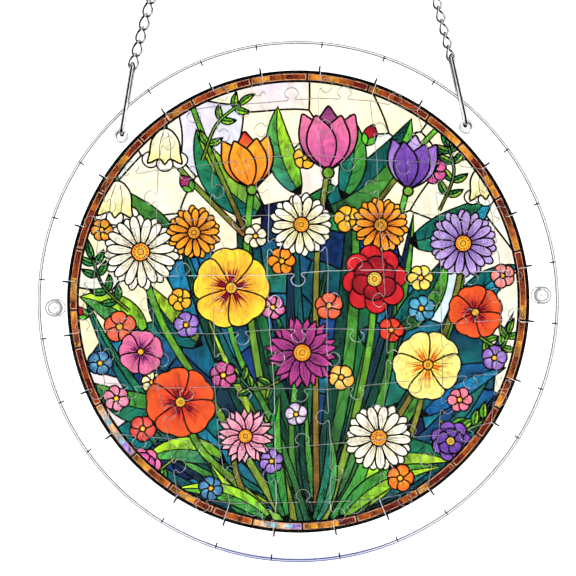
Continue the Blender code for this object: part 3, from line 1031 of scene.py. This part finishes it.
def frosted_edge_with_painted_shade(name, tint, clear_share, foot=None, fineness=420.0, haze=(0.12, 0.35), gloss=1.0):
    """A bevel, a step or a frosted cut in plastic, which scatters part of the light; its grey tint is painted shade,
    and foot gives it a painted violet reflection low on the disc.
    """
    made, shader = new_material(name)
    fill(
        shader, Base_Color=painted_foot_reflection_or_plain(shader, tint, foot, 16.0),
        Roughness=ramp(shader, specks(shader, fineness), (0.3, haze[0]), (0.7, haze[1])),
        Transmission_Weight=clear_share, Specular_Tint=opaque(gloss), IOR=ACRYLIC_IOR,
    )
    return made


# %% Recipes for ink and wire
def printed_lead():
    made, shader = new_material("printed_lead")
    ink = ramp(shader, specks(shader, 900.0), (0.3, 0.001), (0.8, (0.006, 0.005, 0.005)))
    fill(shader, Base_Color=ink, Roughness=0.4, Specular_IOR_Level=0.04)
    return made


def silver_wire():
    """Plated steel wire: bright, with fine draw marks and slightly duller spots."""
    made, shader = new_material("silver_wire")
    spots = specks(shader, 700.0, 4.0)
    fill(
        shader, Base_Color=ramp(shader, spots, (0.3, (0.55, 0.55, 0.57)), (0.7, (0.86, 0.86, 0.88))),
        Roughness=ramp(shader, spots, (0.3, 0.22), (0.75, 0.10)), Metallic=1.0,
    )
    return made


# %% All the materials
MATERIALS = {
    "lead": printed_lead(),
    "clear": clear_acrylic("clear_inner_face", 1.0, 0.06),
    "polished": clear_acrylic("clear_outer_face", 1.0, 0.45),
    # Painted light on the clear plastic: the grey tints of bevel, rim_wall, hole_edge, rivet_step and cut are painted
    # shade, and the last colour of bevel, rim_wall and rim_strip is a painted violet reflection at the foot of the
    # disc.
    "bevel": frosted_edge_with_painted_shade("rim_bevel", (0.20, 0.20, 0.23), 0.15, (0.12, 0.13, 0.30)),
    "rim_wall": frosted_edge_with_painted_shade("rim_wall", (0.58, 0.58, 0.66), 0.25, (0.22, 0.24, 0.52)),
    "rim_strip": clear_acrylic("rim_strip", 1.0, 0.45, (0.55, 0.60, 0.86)),
    "hole_edge": frosted_edge_with_painted_shade("hole_edge", (0.50, 0.50, 0.52), 0.5),
    "rivet": clear_acrylic("rivet_plastic", (0.97, 0.97, 0.98), 0.8),
    "rivet_step": frosted_edge_with_painted_shade("rivet_step", (0.28, 0.28, 0.29), 0.12),
    "cut": frosted_edge_with_painted_shade("cut_edge", (0.26, 0.25, 0.26), 0.4, None, 1500.0, (0.25, 0.5), 0.15),
    "opal_glass": glass_of("opal_glass", 5.0, 9.0, 0.17, 0.2, 0.5, 0.3),
    "leaf_glass": glass_of("leaf_glass", 3.0, 7.0, 0.7, 0.15, 0.5, 0.5),
    "petal_glass": glass_of("petal_glass", 2.2, 5.0, 0.34, 0.15, 0.5, 0.4),
    "border_glass": glass_of("border_glass", 2.4, 5.0, 0.8, 0.15, 0.4, 0.5),
    "silver": silver_wire(),
}
print("materials:", ", ".join(made.name for made in MATERIALS.values()))

# %% [markdown]
# ## Jigsaw pieces
# Each piece starts as its flat share of the picture, which becomes its front. Pulling the rim of
# that share back by 2.5 mm makes the cut walls. The back is closed with few large triangles,
# because nothing is printed there.

# %% Tools for finished pieces
def new_mesh(name, bm, finishes, smooth_to=None):
    """Turns a built shape into a mesh, smooth where its faces meet below the given angle."""
    mesh = bpy.data.meshes.new(name)
    bm.to_mesh(mesh)
    bm.free()
    if smooth_to:
        mesh.shade_smooth()
        mesh.set_sharp_from_angle(angle=math.radians(smooth_to))
    for finish in finishes:
        mesh.materials.append(MATERIALS[finish])
    return mesh


def add_piece(name, mesh, place, node):
    """Puts a finished mesh in the scene, in place of a node of the frame."""
    mesh.transform(place)
    made = new_object(name, mesh)
    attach(made, "root")
    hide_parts(node)


# %% Colours for the corners and faces
GLASSES = ["clear", "cut", "lead", "opal_glass", "leaf_glass", "petal_glass", "border_glass"]
CLEAR, CUT = GLASSES.index("clear"), GLASSES.index("cut")
glass_number = [GLASSES.index(entry[1]) if entry[1] in GLASSES else CLEAR for entry in panes]
near_colours, far_colours, roots, reaches, chances = (
    np.array([entry[part] for entry in panes]) for part in range(2, 7)
)


def read(items, key, size, kind=int):
    values = np.empty(size, kind)
    items.foreach_get(key, values)
    return values


def paint(mesh):
    """Gives each corner of the mesh the colour of its pane, and each face the pane's own number."""
    pane_of = read(mesh.attributes["pane"].data, "value", len(mesh.polygons))
    which = np.repeat(pane_of, read(mesh.polygons, "loop_total", len(mesh.polygons)))
    corner = read(mesh.loops, "vertex_index", len(mesh.loops))
    places = read(mesh.vertices, "co", len(mesh.vertices) * 3, float).reshape(-1, 3)[corner][:, [0, 2]]
    share = np.clip(np.linalg.norm(places - roots[which], axis=1) / reaches[which], 0.0, 1.0)[:, None]
    colours = near_colours[which] * (1 - share) + far_colours[which] * share
    layer = mesh.attributes.new("pane_colour", "FLOAT_COLOR", "CORNER")
    layer.data.foreach_set("color", np.c_[colours, np.ones(len(colours))].ravel())
    layer = mesh.attributes.new("pane_seed", "FLOAT", "FACE")
    layer.data.foreach_set("value", chances[pane_of])
    mesh.attributes.remove(mesh.attributes["pane"])


# %% The back of a piece
def close_back(bm, rim):
    """Fills the outline at the back with few large triangles, and leaves the holes open."""
    ends = list(dict.fromkeys(vert for edge in rim for vert in edge.verts))
    number = {vert: index for index, vert in enumerate(ends)}
    points = [Vector((vert.co.x, vert.co.z)) for vert in ends]
    pairs = [tuple(number[vert] for vert in edge.verts) for edge in rim]
    _, _, triangles_here, sources, _, _ = delaunay_2d_cdt(points, pairs, [], 0, 1e-7, True)
    faces = [[sources[index][0] for index in triangle] for triangle in triangles_here]
    x, z = np.array([sum((points[index] for index in face), Vector((0.0, 0.0))) / 3 for face in faces]).T
    crossed = np.zeros(len(faces), int)
    for pair in pairs:
        (x1, z1), (x2, z2) = sorted((points[index] for index in pair), key=lambda point: point[1])
        crossed += (z1 <= z) & (z2 > z) & ((x2 - x1) * (z - z1) > (x - x1) * (z2 - z1))
    for index in np.flatnonzero(crossed % 2):
        bm.faces.new([ends[end] for end in faces[index]]).material_index = CLEAR


# %% Build the jigsaw
def jigsaw_piece(name, shares):
    bm = bmesh.new()
    which = bm.faces.layers.int.new("pane")
    at = {}
    for triangle, here in shares:
        for index in triangle:
            if index not in at:
                at[index] = bm.verts.new((flat[index].x, TILE_FRONT, flat[index].y))
        face = bm.faces.new([at[index] for index in triangle])
        face.material_index = glass_number[here]
        face[which] = int(here)
    walls = bmesh.ops.extrude_edge_only(bm, edges=[edge for edge in bm.edges if edge.is_boundary])["geom"]
    far = {item for item in walls if isinstance(item, bmesh.types.BMVert)}
    bmesh.ops.translate(bm, verts=list(far), vec=(0.0, TILE_THICKNESS, 0.0))
    # The cut walls get the grey cut finish, painted shade that shows each cut as a line.
    for item in walls:
        if isinstance(item, bmesh.types.BMFace):
            item.material_index = CUT
    close_back(bm, [item for item in walls if isinstance(item, bmesh.types.BMEdge) and set(item.verts) <= far])
    bmesh.ops.recalc_face_normals(bm, faces=bm.faces)
    mesh = new_mesh(name, bm, GLASSES)
    paint(mesh)
    return mesh


face_count = 0
for name, (outline, node) in jigsaw.items():
    mesh = jigsaw_piece(name, pieces_of[name])
    face_count += len(mesh.polygons)
    add_piece(name, mesh, disc_from_mm, node)
print("faces in the jigsaw:", face_count)

# %% [markdown]
# ## Clear plates
# Both plates are round sheets with polished edges and four holes. A ring of corners for each
# level of the rim and of each hole, joined ring to ring, gives soft edges and the countersinks
# of the two upper holes without a Boolean. The bevels, the rim wall and the hole walls are
# painted grey, painted shade for the dark room such edges mirror. The foot of the rim has a
# faint violet painted into its colour, a painted reflection of the light of the room below it.

# %% Build the plates
EDGE_SOFTNESS = 0.45
RIM_STRIP = 2.7
RIVET_HOLE_LIP = 0.1
SHEET_FINISHES = ["polished", "clear", "bevel", "hole_edge", "rim_wall", "rim_strip"]
FLATNESS = 1e-6


def join_rings(bm, rings):
    for low, high in zip(rings, rings[1:]):
        for index in range(len(low)):
            after = (index + 1) % len(low)
            bm.faces.new((low[index], low[after], high[after], high[index]))


def round_sheet(name, front, outer_face):
    """A plate of the stack; outer_face is the y of its side that the eye or the wall sees."""
    bm = bmesh.new()
    into = 1.0 if outer_face == front else -1.0

    def tower(levels, centre=(0.0, 0.0), count=48):
        """Joined rings at (radius, depth) levels; gives back the first and the last."""
        rings = [
            [bm.verts.new((x, outer_face + into * depth, z)) for x, z in ring(radius, count, centre)]
            for radius, depth in levels
        ]
        join_rings(bm, rings)
        return rings[0], rings[-1]

    soft = EDGE_SOFTNESS
    rim = [(DISC_RADIUS - RIM_STRIP, 0.0)]
    for step in range(4):
        angle = step / 3 * math.pi / 2
        rim.append((DISC_RADIUS - soft + soft * math.sin(angle), soft * (1 - math.cos(angle))))
    rim += [(DISC_RADIUS, PLATE_THICKNESS - soft / 2), (DISC_RADIUS - soft / 2, PLATE_THICKNESS)]
    loops = [tower(rim, count=256)]
    for x, z, radius in HOLES:
        lip = COUNTERSINK if radius == HOLE_RADIUS else RIVET_HOLE_LIP
        loops.append(tower([(radius + lip, 0.0), (radius, lip), (radius, PLATE_THICKNESS)], (x, z)))
    for loops_here in zip(*loops):
        around = [bm.edges.get(pair) for loop in loops_here for pair in zip(loop, loop[1:] + loop[:1])]
        bmesh.ops.triangle_fill(bm, edges=around, use_beauty=True)
    bmesh.ops.recalc_face_normals(bm, faces=bm.faces)
    # Bevels, rim wall and hole walls get grey finishes, which are painted shade; the rim strip, bevels and rim wall
    # also get a painted violet reflection at the foot.
    for face in bm.faces:
        depths = [abs(vert.co.y - outer_face) for vert in face.verts]
        middle = face.calc_center_median()
        if max(depths) < FLATNESS:
            finish = "rim_strip" if len(face.verts) == 4 else "polished"
        elif max(depths) - min(depths) < FLATNESS:
            finish = "clear"
        elif math.hypot(middle.x, middle.z) < DISC_RADIUS - 1.0:
            finish = "hole_edge"
        else:
            finish = "bevel" if max(depths) < soft + 0.01 else "rim_wall"
        face.material_index = SHEET_FINISHES.index(finish)
    return new_mesh(name, bm, SHEET_FINISHES)


for word, front, outer_face in (("front", FRONT, FRONT), ("back", BACK - PLATE_THICKNESS, BACK)):
    name = f"clear_{word}_plate"
    add_piece(name, round_sheet(name, front, outer_face), disc_from_mm, f"{word}_plate")
print("plates: 2")

# %% [markdown]
# ## Rivets
# The rivets are moulded from clear plastic. A lathe profile spun round the axis gives the domed
# heads and the shank, and a small star of four ribs in the recess is made by moving the inner
# rings in and out.

# %% Build the rivets
RIVET_HEAD = 3.5
RIVET_SHANK = 2.0
RIVET_RECESS = 2.0
RIVET_HEIGHT = 1.2
RIVET_STEPS = 48
RIB_DEPTH = 0.22
SMOOTH_TO = 50.0


def clear_rivet(name):
    seat, under = FRONT - CLEARANCE, BACK + CLEARANCE
    top, bottom = seat - RIVET_HEIGHT, under + RIVET_HEIGHT
    head, shank, recess = RIVET_HEAD, RIVET_SHANK, RIVET_RECESS
    profile = [
        (0.0, top + 0.55), (0.5, top + 0.5), (1.0, top + 0.5), (1.5, top + 0.5),
        (recess, top + 0.46), (recess + 0.3, top + 0.06), (recess + 0.42, top),
        (2.75, top + 0.03), (3.02, top + 0.24), (3.34, top + 0.6), (head, top + 0.95),
        (head - 0.05, seat - 0.06), (head - 0.15, seat), (shank + 0.1, seat), (shank, seat + 0.1),
        (shank, under - 0.1), (shank + 0.1, under), (head - 0.15, under), (head, under + 0.15),
        (3.4, under + 0.6), (3.1, under + 0.95), (2.6, bottom), (0.9, bottom),
        (0.6, bottom - 0.2), (0.0, bottom - 0.25),
    ]
    bm = bmesh.new()
    points = [bm.verts.new((radius, y, 0.0)) for radius, y in profile]
    edges = [bm.edges.new(pair) for pair in zip(points, points[1:])]
    bmesh.ops.spin(
        bm, geom=points + edges, cent=(0, 0, 0), axis=(0, 1, 0),
        angle=math.tau, steps=RIVET_STEPS, use_merge=True,
    )
    bmesh.ops.remove_doubles(bm, verts=bm.verts, dist=0.001)
    for vert in bm.verts:
        if 0.4 < math.hypot(vert.co.x, vert.co.z) < 1.5 and vert.co.y < seat:
            vert.co.y -= RIB_DEPTH * max(0.0, math.cos(4 * math.atan2(vert.co.z, vert.co.x)))
    bmesh.ops.recalc_face_normals(bm, faces=bm.faces)
    # The steep faces of the heads get the grey rivet_step finish and the ribs the grey hole_edge finish: painted shade
    # that makes the rims and the star show.
    for face in bm.faces:
        x, y, z = face.calc_center_median()
        rib = 0.45 < math.hypot(x, z) < 1.5 and y < seat and math.cos(4 * math.atan2(z, x)) > 0.5
        step = not seat <= y <= under and abs(face.normal.y) < 0.86
        face.material_index = 2 if rib else int(step)
    return new_mesh(name, bm, ("rivet", "rivet_step", "hole_edge"), SMOOTH_TO)


for word, side in SIDES.items():
    name = f"clear_rivet_{word}"
    place = disc_from_mm @ Matrix.Translation((side * HOLE_DISTANCE, 0.0, 0.0))
    add_piece(name, clear_rivet(name), place, f"rivet_{word}")

# %% [markdown]
# ## Wire
# Connectors, chain links and the middle link are all bent wire. A tube that follows a list of
# points serves for each of them. The frame of each ring is carried along from the one before, so
# that the tube doesn't twist by itself.

# %% Tube along a path
def add_tube(bm, path, radius, sides, closed):
    """A round tube along the points, closed on itself or with rounded ends."""
    count = len(path)
    normal = None
    frames = []
    for index, here in enumerate(path):
        if closed:
            along = (path[(index + 1) % count] - path[index - 1]).normalized()
        else:
            along = heading(path, index)
        normal = normal or along.orthogonal()
        normal = (normal - along * normal.dot(along)).normalized()
        frames.append((here, along, normal, along.cross(normal)))
    drift = 0.0
    if closed:
        _, along, normal, other = frames[0]
        last = frames[-1][2]
        carried = (last - along * last.dot(along)).normalized()
        drift = math.atan2(carried.dot(other), carried.dot(normal))
    loops = []
    for index, (here, along, normal, other) in enumerate(frames):
        turns = [k * math.tau / sides - drift * index / count for k in range(sides)]
        loops.append([
            bm.verts.new(here + (normal * math.cos(turn) + other * math.sin(turn)) * radius)
            for turn in turns
        ])
    join_rings(bm, loops + loops[:1] if closed else loops)
    if not closed:
        for loop, (here, along, _, _), way in ((loops[0], frames[0], -1), (loops[-1], frames[-1], 1)):
            tip = bm.verts.new(here + along * way * radius * 0.25)
            for k in range(sides):
                bm.faces.new((loop[k], loop[(k + 1) % sides], tip))


def wire_mesh(name, bm):
    bmesh.ops.recalc_face_normals(bm, faces=bm.faces)
    return new_mesh(name, bm, ["silver"], SMOOTH_TO)


# %% [markdown]
# ## Connectors
# Each connector is one long oval of wire through the whole stack, seen edge-on from the front.
# Its two ends meet in the front leg, a third of the way down, and leave a hairline joint.

# %% Build the connectors
CONNECTOR_LENGTH = 29.0
CONNECTOR_WIRE = 1.6
CONNECTOR_ROOM = 1.0
CONNECTOR_CORNER = 2.2
CONNECTOR_LEAN = math.radians(11.0)
CONNECTOR_TWIST = math.radians(5.0)
CONNECTOR_SPARE = 0.13
JOINT = 0.14
JOINT_PLACE = 0.66


def connector_ends(side):
    """The middles of the wire at a connector's lower and upper end, on the disc's plane."""
    pull = Vector((-side * math.sin(CONNECTOR_LEAN), math.cos(CONNECTOR_LEAN)))
    lower = Vector(hole_centre(side)) + pull * (HOLE_RADIUS - CONNECTOR_WIRE / 2 - CLEARANCE)
    return lower, lower + pull * (CONNECTOR_LENGTH - CONNECTOR_WIRE)


def connector(name):
    half = (STACK + 2 * CONNECTOR_ROOM + CONNECTOR_WIRE) / 2 - CONNECTOR_SPARE
    reach = CONNECTOR_LENGTH - CONNECTOR_WIRE
    joint = reach * JOINT_PLACE
    bend = CONNECTOR_CORNER
    path = [Vector((0.0, -half, joint - JOINT / 2 - step * 2.0)) for step in range(3)]
    for y, z, quarter in (
        (bend - half, bend, 2), (half - bend, bend, 3), (half - bend, reach - bend, 0), (bend - half, reach - bend, 1),
    ):
        for step in range(9):
            angle = (quarter + step / 8) * math.pi / 2
            path.append(Vector((0.0, y + bend * math.cos(angle), z + bend * math.sin(angle))))
    path += [Vector((0.0, -half, joint + JOINT / 2 + step * 1.5)) for step in (2, 1, 0)]
    bm = bmesh.new()
    add_tube(bm, path, CONNECTOR_WIRE / 2, 20, closed=False)
    return wire_mesh(name, bm)


for word, side in SIDES.items():
    name = f"wire_connector_{word}"
    low = connector_ends(side)[0]
    place = disc_from_mm @ Matrix.Translation((low.x, 0.0, low.y))
    place = place @ Matrix.Rotation(-side * CONNECTOR_LEAN, 4, "Y")
    place = place @ Matrix.Rotation(-side * CONNECTOR_TWIST, 4, "Z")
    add_piece(name, connector(name), place, f"connector_{word}")

# %% [markdown]
# ## Chain
# The links are ovals of round wire, twisted a quarter turn along their length, so that the lower
# end of each is seen flat and the upper end on edge. That twist is what makes the chain sparkle.

# %% Build the chain and the middle link
CHAIN_WIRE = 0.95
LINK_WIDTH = 5.0
LINK_PITCH = 5.3
LINK_BITE = 0.2
LINK_STEPS = 26
LINK_LENGTH = LINK_PITCH + 2 * CHAIN_WIRE
LINK_HALF = (LINK_WIDTH - CHAIN_WIRE) / 2
LINK_STRAIGHT = (LINK_LENGTH - LINK_WIDTH) / 2
MIDDLE_LINK_SIZE = 0.96


def link_path(middle, length):
    path = []
    for x, z in ring(1.0, LINK_STEPS):
        x, z = LINK_HALF * x, length / 2 * z
        turn = (z / length + 0.5) * math.pi / 2
        path.append(Vector((x * math.cos(turn), x * math.sin(turn), z + middle)))
    return path


def chain(name, side):
    """The links of one side, drawn along z, and the place and number of them."""
    low = connector_ends(side)[1]
    low_bearing = disc_from_mm @ Vector((low.x, 0.0, low.y)) / MM
    high_bearing = Vector((side * LINK_STRAIGHT, 0.0, -LINK_HALF))
    pull = (high_bearing - low_bearing).normalized()
    start = low_bearing - pull * (CONNECTOR_WIRE / 2 + CHAIN_WIRE / 2 + CLEARANCE)
    run = high_bearing + pull * (CHAIN_WIRE + CLEARANCE) - start
    taken = run.length - CHAIN_WIRE + LINK_BITE
    count = round(taken / LINK_PITCH)
    pitch = taken / count
    bm = bmesh.new()
    for index in range(count):
        middle = (pitch + CHAIN_WIRE - LINK_BITE) / 2 + index * pitch
        path = link_path(middle, pitch + CHAIN_WIRE - LINK_BITE * 0.3)
        add_tube(bm, path, CHAIN_WIRE / 2, 10, closed=True)
    place = Matrix.Scale(MM, 4) @ Matrix.Translation(start)
    place = place @ Matrix.Rotation(math.atan2(run.x, run.z), 4, "Y")
    return wire_mesh(name, bm), place, count


for word, side in SIDES.items():
    name = f"twisted_chain_{word}"
    mesh, place, count = chain(name, side)
    add_piece(name, mesh, place, f"chain_{word}")
    print("links on the", word, "side:", count)

path = []
for way, x in ((-1, LINK_STRAIGHT), (1, -LINK_STRAIGHT)):
    for step in range(17):
        angle = way * math.pi / 2 + step / 16 * math.pi
        x_here, z_here = x + LINK_HALF * math.cos(angle), LINK_HALF * math.sin(angle)
        path.append(Vector((x_here, 0.0, z_here)) * MIDDLE_LINK_SIZE)
bm = bmesh.new()
add_tube(bm, path, CHAIN_WIRE / 2, 16, closed=True)
add_piece("middle_link", wire_mesh("middle_link", bm), Matrix.Scale(MM, 4), "hanging_link")

# %% [markdown]
# ## Studio
# The object hangs over a plain white floor that sweeps up into a wall far behind it, and that
# wall shines through the glass. Clear plates would also mirror a white room and lay a veil over
# the dark colours. A photographer hangs dark cloth round the set against that. Here the bright
# air and the floor stay out of reflections, which see the soft panels alone. Bright ones at the
# sides and dim ones behind give the round wire its white, grey and black stripes.

# %% Floor, lights and background
FLOOR_LEVEL = -0.62
FLOOR_REACH = 9.0
WALL = 2.4
WALL_TOP = 6.0
SWEEP = 0.8

studio_white, shader = new_material("studio_white")
fill(
    shader, Base_Color=opaque(0.8), Roughness=0.9, Specular_IOR_Level=0.0,
    Emission_Color=opaque(1.0), Emission_Strength=0.75,
)
MATERIALS["studio"] = studio_white
profile = [(-FLOOR_REACH, FLOOR_LEVEL), (WALL - SWEEP, FLOOR_LEVEL)]
for step in range(1, 13):
    angle = step * math.pi / 24
    profile.append((WALL - SWEEP * (1 - math.sin(angle)), FLOOR_LEVEL + SWEEP * (1 - math.cos(angle))))
profile.append((WALL, WALL_TOP))
bm = bmesh.new()
rows = [[bm.verts.new((x, y, z)) for y, z in profile] for x in (-FLOOR_REACH, FLOOR_REACH)]
for (a, b), (c, d) in zip(zip(rows[0], rows[0][1:]), zip(rows[1], rows[1][1:])):
    bm.faces.new((a, b, d, c))
floor = new_object("studio_floor", new_mesh("studio_floor", bm, ["studio"]))
floor.data.shade_smooth()
floor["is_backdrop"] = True
floor.visible_glossy = False

TARGET = Vector((0.0, 0.0, -0.3))
PANELS = {
    "panel_left": ((-1.5, -0.28, -0.1), 1.8, 1.8, 12.0),
    "panel_right": ((1.5, -0.24, -0.1), 1.8, 1.8, 14.0),
    "panel_top": ((0.2, -0.5, 1.4), 1.2, 1.0, 6.0),
    "panel_behind_left": ((-1.3, 1.3, -0.2), 1.9, 2.0, 3.0),
    "panel_behind_right": ((1.3, 1.3, -0.2), 1.9, 2.0, 4.0),
}
for name, (place, width, height, watts) in PANELS.items():
    data = bpy.data.lights.new(name, "AREA")
    data.shape = "RECTANGLE"
    data.size, data.size_y, data.energy = width, height, watts
    panel = new_object(name, data)
    panel.location = place
    panel.rotation_euler = (TARGET - Vector(place)).to_track_quat("-Z", "Y").to_euler()
    panel.visible_camera = False

world = bpy.data.worlds.new("studio_air")
bpy.context.scene.world = world
world.cycles_visibility.glossy = False
world.use_nodes = True
fill(world.node_tree.nodes["Background"], Color=opaque(1.0), Strength=0.9)
bpy.context.scene.view_settings.view_transform = "Standard"
print("soft panels:", len(PANELS))

# %% The size of the frame and of what is seen
seen_box = [list(corner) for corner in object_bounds()]
for word, box in (("frame", cad_box), ("seen", seen_box)):
    print(word, "box in mm:", [[round(value * 1000, 1) for value in corner] for corner in box])
